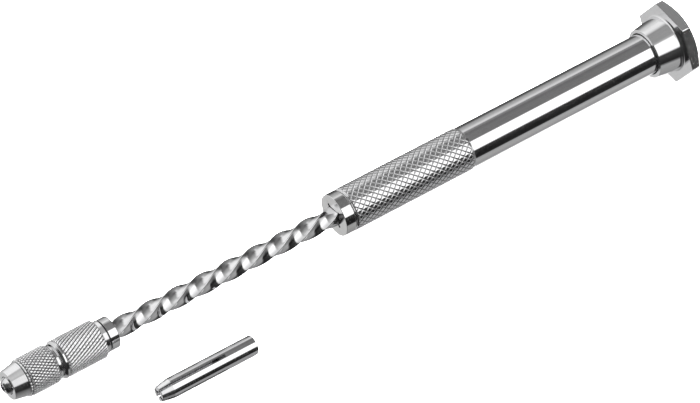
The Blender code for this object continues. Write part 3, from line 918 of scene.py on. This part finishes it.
# --- end cap -----------------------------------------------------------------
def end_cap():
    hex_r, x1 = HEX_AF / math.sqrt(3), HEX_X0 + HEX_L
    corner = 0.5
    section = []
    for k in range(6):
        mid = math.radians(30 + 60 * k)
        centre = (hex_r - corner / math.cos(math.radians(30)))
        for j in range(5):
            a = math.radians(60 * k + 0) + math.radians(-30 + 15 * j)
            section.append((centre * math.cos(math.radians(60 * k)) + corner * math.cos(a), centre * math.sin(math.radians(60 * k)) + corner * math.sin(a)))
    n = len(section)
    points = [(HEX_X0, y, z) for y, z in section] + [(x1, y, z) for y, z in section]
    faces = [(i, (i + 1) % n, n + (i + 1) % n, n + i) for i in range(n)]
    faces += [tuple(range(n))[::-1], tuple(range(n, 2 * n))]
    obj = loose("cap", points, faces)
    slope = 1 / math.tan(math.radians(30))
    chamfer = loose(
        "cutter",
        *lathe(
            [
                (x1 + 1, 0),
                (x1 + 1, hex_r - (HEX_L + 1 - HEX_CORNER_L) * slope),
                (HEX_X0 + HEX_CORNER_L - 0.4, hex_r + 0.4 * slope),
                (HEX_X0 - 1, hex_r + 0.4 * slope),
                (HEX_X0 - 1, 0),
            ],
            240,
            ring=False,
        )[:2],
    )
    rim = 94.0
    collar = loose(
        "cutter",
        *lathe(
            soften(
                [
                    (HEX_X0 + 0.6, 0),
                    (HEX_X0 + 0.6, 7.85),
                    (HEX_X0, 7.85),
                    (HEX_X0 - 0.02, 7.68),
                    (HEX_X0 - 0.1, 7.53),
                    (HEX_X0 - 0.24, 7.42),
                    (HEX_X0 - 0.5, 7.33),
                    (rim, 6.5, 0.06),
                    (rim, 0),
                ],
                steps=4,
            ),
            144,
            ring=False,
        )[:2],
    )
    hollow = loose(
        "cutter",
        *lathe(
            soften([(99.5, 0), (99.5, 5.62, 0.2), (rim - 1, 5.62), (rim - 1, 0)]),
            144,
            ring=False,
        )[:2],
    )
    carve(obj, [chamfer, collar, hollow], ["INTERSECT", "UNION", "DIFFERENCE"], bevel=0.08, segments=2, limit=32, sharp=50)
    for face in obj.data.polygons:
        if face.center.x > (HEX_X0 + 0.05) * MM and abs(face.normal.x) < 0.1 and math.hypot(face.center.y, face.center.z) > 9 * MM:
            face.material_index = 1
    return fit(obj, "end_cap", "end_cap", [CHROME, CHROME_BRUSHED])


end_cap()


# --- inside the handle -------------------------------------------------------
def inner(node, body, outline, mat, slot, ring=False, seg=64):
    points, faces, _ = lathe(soften(outline), seg, ring)
    return fit(loose(node, points, faces), node, body, mat)


inner(
    "stop_washer", "handle", [(9.7, 3.05, 0.06), (9.7, 4.2, 0.06), (8.9, 4.2, 0.06), (8.9, 3.05, 0.06)], FIBRE, "fibre", ring=True
)
inner(
    "spring_follower",
    "carriage",
    [(25.0, 0), (25.0, 2.5, 0.4), (19.0, 2.5, 0.1), (19.0, 4.1, 0.12), (17.3, 4.1, 0.12), (17.3, 1.9, 0.1), (18.4, 0.7, 0.2), (18.4, 0)],
    BRASS,
    "brass",
)
inner(
    "spring_seat",
    "cap_seat",
    [(99.15, 0), (99.15, 4.1, 0.12), (96.4, 4.1, 0.12), (96.4, 2.5, 0.1), (90.4, 2.5, 0.4), (90.4, 0)],
    BRASS,
    "brass",
)
ball = [(16.5 - 1.75 * math.cos(math.pi * k / 32), 1.75 * math.sin(math.pi * k / 32)) for k in range(33)]
ball[0], ball[-1] = (14.75, 0.0), (18.25, 0.0)
inner("thrust_ball", "carriage", ball, BEARING, "bearing_steel", seg=48)


def return_spring():
    x0, x1, radius, wire, coils, dead, sides = 19.5, 95.9, 3.4, 0.4, 18.0, 1.25, 12
    turns = np.linspace(0, coils, int(coils * 36) + 1)
    closed = 2.05 * wire
    open_pitch = (x1 - x0 - 2 * dead * closed) / (coils - 2 * dead)
    x = x0 + np.where(
        turns < dead,
        turns * closed,
        np.where(
            turns > coils - dead,
            x1 - x0 - (coils - turns) * closed,
            dead * closed + (turns - dead) * open_pitch,
        ),
    )
    a = 2 * np.pi * turns
    path = np.column_stack((x, radius * np.cos(a), radius * np.sin(a)))
    along = np.gradient(path, axis=0)
    along /= np.linalg.norm(along, axis=1, keepdims=True)
    out = np.column_stack((np.zeros_like(a), np.cos(a), np.sin(a)))
    side = np.cross(along, out)
    t = 2 * np.pi * np.arange(sides) / sides
    points = (
        path[:, None, :]
        + wire * np.cos(t)[None, :, None] * out[:, None, :]
        + wire * np.sin(t)[None, :, None] * side[:, None, :]
    ).reshape(-1, 3)
    faces = []
    for i in range(len(path) - 1):
        p = np.arange(sides) + i * sides
        q = p + sides
        faces += list(zip(p, np.roll(p, -1), np.roll(q, -1), q))
    last = (len(path) - 1) * sides
    faces += [tuple(range(sides))[::-1], tuple(range(last, last + sides))]
    obj = fit(loose("spring", points, faces, sharp=60), "return_spring", "handle", SPRING_WIRE)
    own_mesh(obj)
    return obj


return_spring()
for node, mat in (("stop_collar", INNER_STEEL), ("stop_pin", BEARING)):
    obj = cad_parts[node]
    obj.data.materials.clear()
    obj.data.materials.append(mat)

# --- floor -------------------------------------------------------------------
paper = bpy.data.materials.new("pale_floor")
paper.use_nodes = True
coat = paper.node_tree.nodes["Principled BSDF"]
coat.inputs["Roughness"].default_value = 0.9
coat.inputs["Specular IOR Level"].default_value = 0.0
coat.inputs["Base Color"].default_value = (0.92, 0.92, 0.92, 1.0)
sheet = bpy.data.meshes.new("floor")
half = 4.0
sheet.from_pydata([(-half, -half, 0), (half, -half, 0), (half, half, 0), (-half, half, 0)], [], [(0, 1, 2, 3)])
floor = bpy.data.objects.new("floor", sheet)
scene.collection.objects.link(floor)
floor.location.z = -0.00005
floor.data.materials.append(paper)
floor.visible_glossy = False
